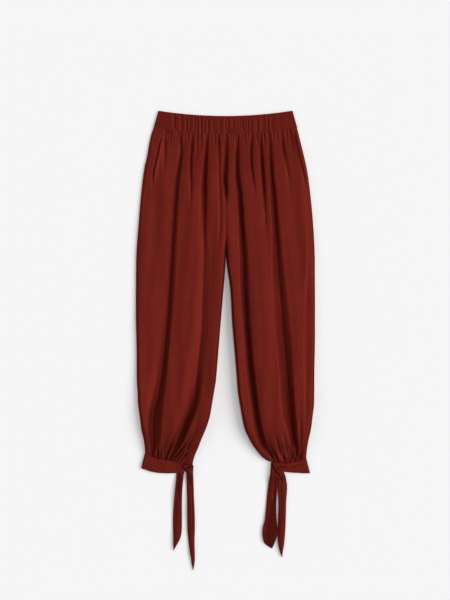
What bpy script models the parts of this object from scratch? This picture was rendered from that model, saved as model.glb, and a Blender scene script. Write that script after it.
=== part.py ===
"""Pull-on trousers of plain woven cloth, laid flat and face up.

The tables are in millimetres and the meshes in metres. "Out" is the distance from the
middle of the garment towards one side, "down" is the distance from the waistband's top
corners towards the ankles, and Z is the height over the floor. The wearer's left is +X.
Each panel is one grid of cloth, lofted through the rows of its tables.
"""

import math
from collections import namedtuple

import bmesh
import bpy

MM = 0.001

# Whole garment
LENGTH = 1216.0  # waistband's top corners to the tip of the longest tie
SEAM_GAP = 0.3  # between two pieces at a seam
CLOTH = 1.3  # wall of a leg panel
BAND_WALL = 2.0  # doubled cloth round an elastic
CUFF_WALL = 1.7  # doubled cloth
TIE_WALL = 1.7  # doubled cloth, turned out

# Waistband
BAND_HALF_TOP = 177.5
BAND_HALF_SEAM = 190.5
BAND_HEIGHT = 6.2  # front on back, as it lies
BAND_TOP_SAG = 14.0  # the top edge hangs this much lower at the middle
BAND_SEAM_MIDDLE = 62.0  # down to the waist seam at the middle
BAND_SEAM_RISE = 16.0  # the waist seam is this much higher at the sides
RIPPLE_DEPTH = 0.8
RIPPLE_REACH = 142.0  # the elastic ripples end here, out from the middle

# Legs
CROTCH_DOWN = 388.0
EDGE_TURN = 5.0  # reach of the rounding under an edge
CURL_START = 366.0  # the inner edge of a back panel starts to turn up here
WAIST_GATHER = 1.5
WAIST_GATHER_REACH = 78.0
CUFF_GATHER = 2.4
CUFF_GATHER_REACH = 62.0
BACK_GATHER = 0.8
FOLD_EASE = 42.0  # a long fold grows from nothing over this distance below the waist seam
FOLD_COLUMNS = 36  # gathers and long folds of a front panel
EDGE_STEP = 1.0  # one more column this near a side seam, so that both of its edges stand alike
INNER_STEP = 0.05  # and this near an inner edge, where the cloth stands upright
INNER_CROWDING = 1.6  # columns stand closer towards an inner edge, by this power
OUTER_CROWDING = 1.7  # and towards an outer edge
GATHER_UNEVEN = 0.28  # gathers differ this much in depth and length
SETTLE_ROUNDS = 4

# Cuffs and ties
CUFF_HEIGHT = 8.6
CUFF_RIPPLE = 0.7
CUFF_RIPPLE_FADE = 0.6  # the cuff's ripples lose this much of their depth down to the hem
CUFF_MIDDLE = 150.0  # a place across the cuff, out from the middle of the garment
TIE_ARCH = 1.1  # a tie's middle stands this much over its edges
TIE_WAVE = 14.0  # length along a tie over which its arch comes and goes
TIE_WAVE_SHARE = 0.4
TIE_HELD_REACH = 28.0  # a tie leaves its knot or cuff over this length
TIE_LIFT = 4.5  # height of a tie where it comes out of a knot
KNOT_SQUARENESS = 2.6
KNOT_GROOVE = 0.16  # depth of the wrap's groove, as a share of the knot
KNOT_GROOVE_PLACE = 0.15
KNOT_GROOVE_WIDTH = 0.22

# Height of the crown of a leg and of its edges, and how far the rounding of the outer and the
# inner edge reaches
Section = namedtuple("Section", "down height edge outer_reach inner_reach")
SECTIONS = (
    Section(40, 6.2, 3.0, 4.0, 4.0),
    Section(66, 7.0, 3.0, 6.0, 5.0),
    Section(110, 12.5, 3.4, 16.0, 10.0),
    Section(170, 18.5, 3.8, 26.0, 14.0),
    Section(300, 23.5, 4.0, 32.0, 17.0),
    Section(500, 25.5, 4.2, 36.0, 19.0),
    Section(700, 28.0, 4.4, 38.0, 21.0),
    Section(820, 30.5, 4.6, 34.0, 21.0),
    Section(875, 25.5, 4.5, 26.0, 18.0),
    Section(908, 15.0, 4.3, 12.0, 10.0),
    Section(935, 8.8, 4.2, 6.0, 6.0),
    Section(960, 8.6, 4.2, 5.0, 5.0),
)

Outline = namedtuple("Outline", "down outer seam inner")
RIGHT_OUTLINE = (
    Outline(40, 187.5, 163, -4.0),
    Outline(57, 194.5, 167, -4.0),
    Outline(86, 201.5, 171, -4.6),
    Outline(118, 207.0, 177, -5.0),
    Outline(152, 214.5, 185, -4.6),
    Outline(192, 220.0, 191, -2.7),
    Outline(240, 225.0, 197, -2.1),
    Outline(300, 230.0, 204, -1.8),
    Outline(365, 235.0, 212, -1.4),
    Outline(388, 236.0, 214, -1.2),
    Outline(428, 236.6, 216, 1.3),
    Outline(492, 237.0, 217, 6.6),
    Outline(555, 237.0, 218, 11.9),
    Outline(619, 235.4, 217, 17.2),
    Outline(714, 234.6, 216, 25.2),
    Outline(746, 232.6, 214, 30.5),
    Outline(778, 231.4, 213, 35.8),
    Outline(810, 226.8, 210, 41.5),
    Outline(841, 223.0, 208, 51.5),
    Outline(873, 216.0, 203, 65.0),
    Outline(894, 213.6, 200, 73.0),
    Outline(905, 213.0, 200, 78.0),
    Outline(925, 216.0, 202, 85.0),
    Outline(945, 220.0, 204, 87.5),
)
LEFT_OUTLINE = (
    Outline(40, 187.5, 180, 4.0),
    Outline(57, 192.5, 182, 4.0),
    Outline(78, 197.5, 184, 4.6),
    Outline(110, 205.5, 191, 5.0),
    Outline(152, 215.0, 201, 4.6),
    Outline(180, 219.5, 208, 2.9),
    Outline(211, 223.5, 212, 2.1),
    Outline(264, 229.0, 218, 1.9),
    Outline(330, 234.0, 222, 1.6),
    Outline(388, 236.4, 221, 1.8),
    Outline(428, 236.6, 219, 6.6),
    Outline(460, 236.8, 217, 11.4),
    Outline(500, 237.0, 215, 14.6),
    Outline(555, 237.0, 214, 17.2),
    Outline(619, 236.8, 213, 22.5),
    Outline(682, 235.4, 213, 27.8),
    Outline(746, 235.0, 213, 33.0),
    Outline(778, 234.4, 213, 38.0),
    Outline(810, 230.5, 213, 43.7),
    Outline(841, 226.6, 212, 50.5),
    Outline(873, 219.5, 208, 65.0),
    Outline(894, 216.0, 206, 78.5),
    Outline(916, 214.0, 204, 97.0),
    Outline(928, 215.5, 205, 112.0),
    Outline(945, 219.0, 207, 118.0),
)

# A trough in the cloth: its column in the grid, then its line and its depth, by "down"
Fold = namedtuple("Fold", "column line depth")
RIGHT_FOLDS = (
    Fold(
        4,
        ((40, 18.5), (184, 16), (317, 15), (500, 33), (700, 49), (830, 75), (905, 104), (945, 110)),
        ((40, 0.5), (110, 2), (230, 1.5), (330, 0.3), (700, 0), (830, 2), (900, 3), (930, 1)),
    ),
    Fold(
        10,
        ((40, 47.5), (118, 51.5), (197, 54.5), (303, 57), (400, 57.5), (502, 61), (582, 63.5),
         (635, 69), (714, 77), (767, 83.5), (794, 90), (833, 103.5), (873, 119), (894, 132),
         (916, 144), (945, 148)),
        ((40, 0.5), (80, 3), (200, 7), (300, 5.5), (400, 2.5), (600, 4), (700, 6.5), (780, 10),
         (850, 12), (890, 9), (920, 2)),
    ),
    Fold(
        18,
        ((40, 87), (105, 89), (131, 91.5), (224, 92), (317, 96), (500, 106), (700, 122),
         (830, 145), (905, 165), (945, 168)),
        ((40, 0.5), (90, 3), (200, 2.4), (270, 0.4), (700, 0), (850, 2), (900, 2.5), (930, 1)),
    ),
    Fold(
        26,
        ((40, 121), (105, 118), (145, 122.5), (211, 131), (317, 138), (396, 143), (502, 150),
         (582, 156.5), (661, 164.5), (767, 174), (820, 179.5), (873, 183), (902, 186), (945, 187)),
        ((40, 1), (80, 4.5), (150, 8), (300, 9.5), (450, 9), (600, 9.5), (700, 11), (780, 12.5),
         (850, 13), (890, 9), (920, 2)),
    ),
)
LEFT_FOLDS = (
    Fold(
        6,
        ((40, 31.5), (105, 33), (158, 33), (211, 37), (290, 41.5), (370, 46.5), (449, 49.5),
         (502, 52), (582, 57), (661, 63.5), (714, 70), (767, 77), (820, 85), (873, 97),
         (894, 106), (913, 120), (945, 134)),
        ((40, 0.5), (80, 4), (200, 7.5), (300, 8), (400, 7.5), (500, 8), (600, 9), (700, 10),
         (800, 11), (870, 10.5), (900, 5), (925, 2)),
    ),
    Fold(
        14,
        ((40, 70.5), (62, 70.5), (91, 68), (131, 68), (184, 73), (211, 77), (300, 84), (500, 92),
         (700, 108), (830, 125), (905, 144), (945, 154)),
        ((40, 0.5), (90, 3.5), (180, 3), (230, 0.6), (700, 0), (850, 2.5), (900, 2.5), (930, 1)),
    ),
    Fold(
        18,
        ((40, 92), (91, 94), (144, 96.5), (184, 99.5), (264, 103), (317, 106), (500, 118),
         (700, 133), (830, 148), (905, 163), (945, 169)),
        ((40, 0.5), (80, 4), (180, 7), (230, 5), (300, 1), (400, 0), (800, 0.5), (870, 2),
         (905, 2), (930, 1)),
    ),
    Fold(
        22,
        ((40, 113.5), (78, 117.5), (118, 118), (158, 120), (211, 124.5), (264, 128), (343, 134),
         (423, 138.5), (502, 144.5), (582, 150), (661, 158), (714, 163), (767, 168.5),
         (847, 176.5), (873, 179.5), (900, 184), (945, 187)),
        ((40, 1), (80, 6), (200, 10), (350, 11), (500, 11.5), (650, 12), (780, 13), (850, 13),
         (890, 9), (920, 2)),
    ),
    Fold(
        30,
        ((40, 147), (78, 151), (105, 153.5), (131, 158.5), (158, 163), (197, 168), (300, 175),
         (500, 182), (700, 190), (830, 197), (905, 197), (945, 200)),
        ((40, 0.5), (90, 4), (170, 4), (215, 1.5), (300, 0.4), (800, 0), (850, 1.5), (895, 2),
         (930, 1)),
    ),
)
# Half the width of a trough, by "down"
FOLD_REACH = ((40, 7), (100, 9), (200, 12), (400, 15), (700, 19), (850, 17), (900, 11), (945, 6))

# A shallow fold of the underside: where it lies across the panel, and its depth by "down"
BackFold = namedtuple("BackFold", "across depth")
BACK_FOLDS = (
    BackFold(0.16, ((40, 1.0), (150, 1.8), (280, 0), (740, 0), (860, 1.8), (930, 0.6))),
    BackFold(0.34, ((40, 1.0), (120, 1.4), (210, 0), (650, 0), (820, 2.2), (930, 0.6))),
    BackFold(0.50, ((40, 1.0), (190, 2.2), (330, 0), (780, 0), (880, 1.6), (930, 0.6))),
    BackFold(0.67, ((40, 1.0), (130, 1.5), (240, 0), (700, 0), (850, 2.2), (930, 0.6))),
    BackFold(0.84, ((40, 1.0), (160, 1.9), (300, 0), (760, 0), (870, 1.6), (930, 0.6))),
)
BACK_FOLD_REACH = 0.075

# Where the leg's cloth ends at the cuff seam, and the cuff's lower edge, by "out"
CuffLine = namedtuple("CuffLine", "out seam hem")
RIGHT_CUFF = (
    CuffLine(80, 939, 951),
    CuffLine(98, 937, 953),
    CuffLine(119, 932, 957),
    CuffLine(140, 927, 959),
    CuffLine(160, 924, 959),
    CuffLine(178, 921, 958),
    CuffLine(199, 913, 954),
    CuffLine(213, 905, 949),
    CuffLine(224, 899, 945),
)
LEFT_CUFF = (
    CuffLine(105, 925, 948),
    CuffLine(122, 928, 951),
    CuffLine(138, 931, 953),
    CuffLine(155, 933, 955),
    CuffLine(172, 931, 957),
    CuffLine(191, 927, 958),
    CuffLine(207, 922, 959),
    CuffLine(225, 917, 959),
)

Leg = namedtuple("Leg", "name sign outline folds cuff cuff_inner cuff_outer")
LEGS = (
    Leg("right", -1, RIGHT_OUTLINE, RIGHT_FOLDS, RIGHT_CUFF, (104.2, 104.2), (213, 223)),
    Leg("left", 1, LEFT_OUTLINE, LEFT_FOLDS, LEFT_CUFF, (140, 140), (214, 224)),
)

# Rows of every leg panel, as a share of the way from the waist seam to the cuff seam
LEG_ROWS = (
    0, 0.016, 0.04, 0.072, 0.11, 0.155, 0.205, 0.26, 0.32, 0.378, 0.43, 0.49,
    0.555, 0.62, 0.685, 0.745, 0.80, 0.85, 0.895, 0.932, 0.96, 0.981, 1,
)

Knot = namedtuple("Knot", "name x down half_x half_y height turn")
KNOTS = (
    Knot("right", -94.2, 948.3, 9.6, 9.4, 15.0, -20),
    Knot("left", 130.4, 947.5, 9.4, 16.0, 15.0, 25),
)

# A tie's left and right edges by "down", as seen from above, and what its upper end is sewn to
Tie = namedtuple("Tie", "name held_by rows")
TIES = (
    Tie("right_outer", "cuff", (
        (957.8, -129.7, -109.3), (982, -131.5, -112.2), (1006, -133.7, -114.1),
        (1032, -136.2, -115.0), (1059, -138.3, -115.1), (1085, -139.2, -115.1),
        (1112, -138.8, -115.8), (1125, -138.4, -117.8), (1138, -138.2, -122.6),
        (1151, -138.0, -130.0), (1163, -138.0, -136.4),
    )),
    Tie("right_inner", "knot", (
        (958.2, -103.8, -85.5), (974, -103.3, -84.8), (1006, -102.4, -83.9),
        (1032, -101.6, -82.8), (1059, -101.4, -81.6), (1085, -101.2, -80.9),
        (1112, -100.6, -81.0), (1138, -98.0, -81.8), (1165, -94.7, -81.2),
        (1181, -92.1, -80.9), (1199, -89.4, -82.0), (1216, -86.4, -84.9),
    )),
    Tie("left_inner", "knot", (
        (964.0, 118.0, 135.6), (979, 114.6, 136.0), (1000, 112.0, 136.2), (1022, 109.6, 134.6),
        (1043, 108.0, 134.0), (1064, 106.0, 134.0), (1085, 103.4, 134.5), (1101, 99.2, 136.2),
        (1117, 97.4, 136.2), (1133, 99.2, 133.2), (1146, 104.6, 128.6), (1158, 120.6, 124.0),
    )),
    Tie("left_outer", "cuff", (
        (954.9, 140.6, 154.6), (969, 138.4, 159.4), (990, 137.6, 163.0), (1011, 138.6, 162.6),
        (1032, 140.4, 160.8), (1059, 140.2, 160.2), (1085, 138.8, 159.6), (1112, 138.0, 158.3),
        (1133, 138.2, 156.6), (1149, 140.0, 155.0), (1165, 143.4, 152.0), (1181, 148.6, 150.2),
    )),
)

CLOTH_ROUGHNESS = 0.72
CLOTH_COLOUR = (0.130, 0.0160, 0.0100, 1.0)
TIE_COLOUR = (0.122, 0.0150, 0.0095, 1.0)


def smoothstep(t):
    t = min(max(t, 0.0), 1.0)
    return t * t * (3.0 - 2.0 * t)


def read(rows, at, column=1):
    """Smooth curve through one column of a table, at a place given in its first column."""
    if at <= rows[0][0]:
        return rows[0][column]
    if at >= rows[-1][0]:
        return rows[-1][column]
    low = max(i for i, row in enumerate(rows) if row[0] <= at)

    def slope(i):
        before = rows[max(i - 1, 0)]
        after = rows[min(i + 1, len(rows) - 1)]
        return (after[column] - before[column]) / (after[0] - before[0])

    span = rows[low + 1][0] - rows[low][0]
    t = (at - rows[low][0]) / span
    start = rows[low][column]
    end = rows[low + 1][column]
    rise = 3 * t * t - 2 * t ** 3
    return (
        start * (1 - rise)
        + end * rise
        + span * slope(low) * (t - 2 * t * t + t ** 3)
        + span * slope(low + 1) * (t ** 3 - t * t)
    )


def section(down):
    return Section(down, *(read(SECTIONS, down, column) for column in (1, 2, 3, 4)))


def outline(leg, down):
    return Outline(down, *(read(leg.outline, down, column) for column in (1, 2, 3)))


def band_top(x):
    return BAND_TOP_SAG * (1 - (x / BAND_HALF_TOP) ** 2)


def waist_seam(x):
    return BAND_SEAM_MIDDLE - BAND_SEAM_RISE * (x / BAND_HALF_SEAM) ** 2


def quarter(distance, reach):
    """Height of a quarter ellipse, from 0 at an edge to 1 where the rounding ends."""
    t = min(max(distance / reach, 0.0), 1.0)
    return math.sqrt(1 - (1 - t) ** 2)


def point(leg, out, down, height):
    return leg.sign * out * MM, (LENGTH / 2 - down) * MM, height * MM


def top_height(leg, out, down):
    """Height of the upper cloth of a leg, with its long folds."""
    shape = section(down)
    edges = outline(leg, down)
    crown = quarter(out - edges.inner, shape.inner_reach)
    crown *= quarter(edges.outer - out, shape.outer_reach)
    fullness = shape.height
    ease = smoothstep((down - waist_seam(out)) / FOLD_EASE)
    for fold in leg.folds:
        away = (out - read(fold.line, down)) / read(FOLD_REACH, down)
        if abs(away) < 1:
            fullness -= ease * read(fold.depth, down) * (1 - away * away) ** 2
    return shape.edge + (fullness - shape.edge) * crown


def uneven(index, step):
    """A share near 1 that differs from one gather to the next."""
    return 1 - GATHER_UNEVEN + GATHER_UNEVEN * math.sin(step * index)


def gather(column, columns, from_waist, from_cuff, waist_depth, cuff_depth):
    """Depth of the short gathers at both seams: every second column is a valley."""
    if column % 2 or column <= 0 or column >= columns:
        return 0.0
    depth = uneven(column, 2.4)
    reach = uneven(column, 1.7)
    waist = waist_depth * depth * (1 - smoothstep(from_waist / (WAIST_GATHER_REACH * reach)))
    cuff = cuff_depth * depth * (1 - smoothstep(from_cuff / (CUFF_GATHER_REACH * reach)))
    return waist + cuff


def between_seams(leg, share, out):
    """Distance down at a share of the way from the waist seam to the cuff seam."""
    start = waist_seam(out) + SEAM_GAP
    end = read(leg.cuff, out, 1) - SEAM_GAP
    return start + (end - start) * share


def settle(leg, share, out_at):
    """A place across the leg and its distance down, which depend on each other."""
    down = BAND_SEAM_MIDDLE + (read(leg.cuff, CUFF_MIDDLE, 1) - BAND_SEAM_MIDDLE) * share
    for _ in range(SETTLE_ROUNDS):
        out = out_at(down)
        down = between_seams(leg, share, out)
    return out_at(down), down


def front_out(leg, column, down):
    """Place of a grid column: fold lines keep their own columns from waist to cuff."""
    edges = outline(leg, down)
    inner = edges.inner + SEAM_GAP / 2
    if column == 0:
        return inner
    if column == FOLD_COLUMNS + 2:
        return edges.seam - SEAM_GAP / 2
    column -= 1
    stops = [(0, inner + INNER_STEP)]
    stops += [(fold.column, read(fold.line, down)) for fold in leg.folds]
    stops += [(FOLD_COLUMNS, edges.seam - EDGE_STEP)]
    for (first, start), (last, end) in zip(stops, stops[1:]):
        if column <= last:
            share = (column - first) / (last - first)
            if first == 0:
                share = share ** INNER_CROWDING
            return start + (end - start) * share


def front_point(leg, column, share):
    out, down = settle(leg, share, lambda at: front_out(leg, column, at))
    depth = gather(
        column - 1,
        FOLD_COLUMNS,
        down - waist_seam(out),
        read(leg.cuff, out, 1) - down,
        WAIST_GATHER,
        CUFF_GATHER,
    )
    height = top_height(leg, out, down) - depth
    lowest = section(down).edge + SEAM_GAP / 2
    return point(leg, out, down, max(height, lowest))


# Columns of a back panel: over the top to the side seam, round the edge, flat, inner edge
OVER_COLUMNS = 4
TURN_COLUMNS = 3
FLAT_COLUMNS = 12
CURL_ANGLES = (0, 35, 65, 82, 90)
CURL_COLUMNS = len(CURL_ANGLES) - 1
BACK_COLUMNS = OVER_COLUMNS + TURN_COLUMNS + FLAT_COLUMNS + CURL_COLUMNS


def curl(down):
    """How far the inner edge of a back panel has turned up to meet the front at the inseam."""
    return smoothstep((down - CURL_START) / (CROTCH_DOWN - CURL_START))


def back_section(leg, column, down):
    """(out, height above the floor) of the back panel's outer face at one column."""
    edges = outline(leg, down)
    edge_height = section(down).edge
    if column == 0:
        out = edges.seam + SEAM_GAP / 2
        return out, top_height(leg, out, down)
    if column <= OVER_COLUMNS:
        share = (OVER_COLUMNS - column) / (OVER_COLUMNS - 1)
        out = edges.outer - (edges.outer - edges.seam - EDGE_STEP) * share ** OUTER_CROWDING
        return out, top_height(leg, out, down)
    column -= OVER_COLUMNS
    if column <= TURN_COLUMNS:
        angle = math.pi / 2 * column / TURN_COLUMNS
        return edges.outer - EDGE_TURN * (1 - math.cos(angle)), edge_height * (1 - math.sin(angle))
    column -= TURN_COLUMNS
    start = edges.outer - EDGE_TURN
    end = edges.inner + SEAM_GAP / 2 + EDGE_TURN
    if column <= FLAT_COLUMNS:
        share = column / FLAT_COLUMNS
        lift = 0.0
        for fold in BACK_FOLDS:
            away = (share - fold.across) / BACK_FOLD_REACH
            if abs(away) < 1:
                lift += read(fold.depth, down) * (1 - away * away)
        out = start + (end - start) * share
        return out, max(lift, 0.0) * smoothstep((down - waist_seam(out)) / FOLD_EASE)
    angle = math.radians(CURL_ANGLES[column - FLAT_COLUMNS])
    raised = (edge_height - SEAM_GAP / 2) * curl(down)
    return end - EDGE_TURN * math.sin(angle), raised * (1 - math.cos(angle))


def back_point(leg, column, share):
    out, down = settle(leg, share, lambda at: back_section(leg, column, at)[0])
    height = back_section(leg, column, down)[1]
    height += gather(
        column - OVER_COLUMNS - TURN_COLUMNS,
        FLAT_COLUMNS,
        down - waist_seam(out),
        read(leg.cuff, out, 1) - down,
        BACK_GATHER,
        BACK_GATHER,
    )
    return point(leg, out, down, height)


def cloth_material(name, colour):
    material = bpy.data.materials.new(name)
    material.use_nodes = True
    shader = material.node_tree.nodes["Principled BSDF"]
    shader.inputs["Base Color"].default_value = colour
    shader.inputs["Roughness"].default_value = CLOTH_ROUGHNESS
    shader.inputs["Metallic"].default_value = 0.0
    material.diffuse_color = colour
    return material


def cloth_piece(name, columns, rows, place, wall, colour, closed=False, flipped=False):
    """A grid of cloth placed by a function of its column and row, with its wall inside."""
    mesh = bpy.data.meshes.new(name)
    grid = bmesh.new()
    bmesh.ops.create_grid(grid, x_segments=columns, y_segments=rows, size=1.0)
    for vertex in grid.verts:
        column = round((vertex.co.x + 1) / 2 * columns)
        row = round((1 - vertex.co.y) / 2 * rows)
        vertex.co = place(column % columns if closed else column, row)
    if closed:
        bmesh.ops.remove_doubles(grid, verts=grid.verts, dist=1e-6)
    if flipped:
        bmesh.ops.reverse_faces(grid, faces=grid.faces)
    grid.to_mesh(mesh)
    grid.free()
    mesh.shade_smooth()
    piece = bpy.data.objects.new(name, mesh)
    mesh.materials.append(cloth_material(name + "_cloth", colour))
    shell = piece.modifiers.new("wall", "SOLIDIFY")
    shell.thickness = wall * MM
    shell.offset = -1.0
    shell.use_even_offset = False
    return piece


def leg_front(leg):
    def place(column, row):
        return front_point(leg, column, LEG_ROWS[row])

    rows = len(LEG_ROWS) - 1
    return cloth_piece(
        "front_" + leg.name, FOLD_COLUMNS + 2, rows, place, CLOTH, CLOTH_COLOUR, flipped=leg.sign < 0
    )


def leg_back(leg):
    def place(column, row):
        return back_point(leg, column, LEG_ROWS[row])

    rows = len(LEG_ROWS) - 1
    return cloth_piece(
        "back_" + leg.name, BACK_COLUMNS, rows, place, CLOTH, CLOTH_COLOUR, flipped=leg.sign < 0
    )


def flat_ring(step, front_steps, end_steps, back_steps, first, last, height):
    """(out, height, is front) on a flattened ring: over the front, round an end, back below."""
    radius = height / 2
    start = first + radius
    end = last - radius
    if step <= front_steps:
        return start + (end - start) * step / front_steps, height, True
    step -= front_steps
    if step <= end_steps:
        angle = math.pi * step / end_steps
        return end + radius * math.sin(angle), radius * (1 + math.cos(angle)), False
    step -= end_steps
    if step <= back_steps:
        return end + (start - end) * step / back_steps, 0.0, False
    step -= back_steps
    angle = math.pi * step / end_steps
    return start - radius * math.sin(angle), radius * (1 - math.cos(angle)), False


def waistband():
    front_steps = 60
    end_steps = 5
    back_steps = 30
    rows = 2

    def place(column, row):
        share = row / rows
        half = BAND_HALF_TOP + (BAND_HALF_SEAM - BAND_HALF_TOP) * math.sin(share * math.pi / 2)
        x, height, front = flat_ring(
            column, front_steps, end_steps, back_steps, -half, half, BAND_HEIGHT
        )
        if front and column % 2 and abs(x) < RIPPLE_REACH:
            height -= RIPPLE_DEPTH * uneven(column, 1.9)
        down = band_top(x) + (waist_seam(x) - band_top(x)) * share
        return x * MM, (LENGTH / 2 - down) * MM, height * MM

    columns = front_steps + back_steps + 2 * end_steps
    return cloth_piece("waistband", columns, rows, place, BAND_WALL, CLOTH_COLOUR, closed=True)


def cuff(leg):
    front_steps = 18
    end_steps = 5
    back_steps = 14
    rows = 3

    def place(column, row):
        share = row / rows
        first = leg.cuff_inner[0] + (leg.cuff_inner[1] - leg.cuff_inner[0]) * share
        last = leg.cuff_outer[0] + (leg.cuff_outer[1] - leg.cuff_outer[0]) * share
        out, height, front = flat_ring(
            column, front_steps, end_steps, back_steps, first, last, CUFF_HEIGHT
        )
        if front and column % 2:
            height -= CUFF_RIPPLE * (1 - CUFF_RIPPLE_FADE * share)
        down = read(leg.cuff, out, 1)
        down += (read(leg.cuff, out, 2) - down) * share
        return point(leg, out, down, height)

    columns = front_steps + back_steps + 2 * end_steps
    return cloth_piece(
        "cuff_" + leg.name, columns, rows, place, CUFF_WALL, CLOTH_COLOUR,
        closed=True, flipped=leg.sign < 0,
    )


def tie(strip):
    across = 2
    steps = 18
    leg = LEGS[0] if strip.name.startswith("right") else LEGS[1]
    first = strip.rows[0][0]
    last = strip.rows[-1][0]

    def place(column, row):
        down = first + (last - first) * row / steps
        left = read(strip.rows, down, 1)
        right = read(strip.rows, down, 2)
        share = column / across
        x = left + (right - left) * share
        held = 1 - smoothstep((down - first) / TIE_HELD_REACH)
        height = TIE_WALL
        wave = 1 - TIE_WAVE_SHARE + TIE_WAVE_SHARE * math.cos(down / TIE_WAVE)
        height += TIE_ARCH * (1 - (2 * share - 1) ** 2) * wave
        if strip.held_by == "cuff":
            down += (read(leg.cuff, leg.sign * x, 2) + SEAM_GAP - first) * held
        else:
            height += TIE_LIFT * held
        return x * MM, (LENGTH / 2 - down) * MM, height * MM

    return cloth_piece("tie_" + strip.name, across, steps, place, TIE_WALL, TIE_COLOUR)


def knot(shape):
    """The tied lump at a cuff's inner end, with the groove of its wrap."""
    mesh = bpy.data.meshes.new("knot_" + shape.name)
    lump = bmesh.new()
    bmesh.ops.create_uvsphere(lump, u_segments=14, v_segments=9, radius=1.0)
    turn = math.radians(shape.turn)
    for vertex in lump.verts:
        x, y, z = vertex.co
        along = x * math.cos(turn) + y * math.sin(turn)
        groove = (along - KNOT_GROOVE_PLACE) / KNOT_GROOVE_WIDTH
        waist = 1 - KNOT_GROOVE * math.exp(-groove * groove)
        side = sum(abs(c) ** KNOT_SQUARENESS for c in (x, y, z)) ** (-1 / KNOT_SQUARENESS)
        height = max(0.0, (1 + z * side * waist) / 2)
        vertex.co = (
            (shape.x + shape.half_x * x * side * waist) * MM,
            (LENGTH / 2 - shape.down + shape.half_y * y * side * waist) * MM,
            shape.height * height * MM,
        )
    lump.to_mesh(mesh)
    lump.free()
    mesh.shade_smooth()
    mesh.materials.append(cloth_material("knot_" + shape.name + "_cloth", TIE_COLOUR))
    return bpy.data.objects.new("knot_" + shape.name, mesh)


def build():
    for thing in list(bpy.data.objects):
        bpy.data.objects.remove(thing)
    trousers = bpy.data.collections.new("trousers")
    bpy.context.scene.collection.children.link(trousers)
    pieces = [waistband()]
    for leg in LEGS:
        pieces += [leg_front(leg), leg_back(leg), cuff(leg)]
    pieces += [knot(shape) for shape in KNOTS]
    pieces += [tie(strip) for strip in TIES]
    for piece in pieces:
        trousers.objects.link(piece)


build()
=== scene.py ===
import math

import bmesh
import bpy
import numpy as np
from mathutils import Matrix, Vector


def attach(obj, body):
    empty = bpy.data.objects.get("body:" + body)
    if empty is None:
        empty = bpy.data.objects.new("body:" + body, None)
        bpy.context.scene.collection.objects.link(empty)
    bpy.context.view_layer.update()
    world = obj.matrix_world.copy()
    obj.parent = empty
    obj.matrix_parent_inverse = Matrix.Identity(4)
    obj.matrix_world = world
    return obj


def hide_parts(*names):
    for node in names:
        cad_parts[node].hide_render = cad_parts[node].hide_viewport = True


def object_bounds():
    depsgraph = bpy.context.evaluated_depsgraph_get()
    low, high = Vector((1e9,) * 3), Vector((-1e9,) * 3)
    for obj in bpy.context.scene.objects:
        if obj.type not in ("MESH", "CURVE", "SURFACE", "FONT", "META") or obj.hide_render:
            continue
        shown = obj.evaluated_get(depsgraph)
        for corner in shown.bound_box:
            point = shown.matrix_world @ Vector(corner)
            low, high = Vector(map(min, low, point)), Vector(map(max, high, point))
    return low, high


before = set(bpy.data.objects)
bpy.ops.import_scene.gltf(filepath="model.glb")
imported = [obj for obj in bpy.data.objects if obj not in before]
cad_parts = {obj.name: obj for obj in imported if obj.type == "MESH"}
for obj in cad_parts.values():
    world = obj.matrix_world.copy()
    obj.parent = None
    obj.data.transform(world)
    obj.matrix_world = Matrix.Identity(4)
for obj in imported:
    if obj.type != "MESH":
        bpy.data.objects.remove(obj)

# Pull-on balloon trousers in one rust-red woven cloth, laid flat and face up on a pale
# floor. Tables are in millimetres: "out" is the distance from the middle towards one side,
# "down" the distance from the waistband's top corners towards the ankles. Places and folds
# follow the photo, and the heights are judged from its shadows.

mm = 0.001
lowCorner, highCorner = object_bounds()
lengthMm = (highCorner.y - lowCorner.y) / mm
print("frame loaded, length", round(lengthMm), "mm")

photo = {
    "mmPerPixel": 2.65,
    "middlePixel": 225.5,  # the garment's middle, across
    "topPixel": 111.0,  # the waistband's top corners
    "pictureSize": (450, 600),
}

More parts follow.
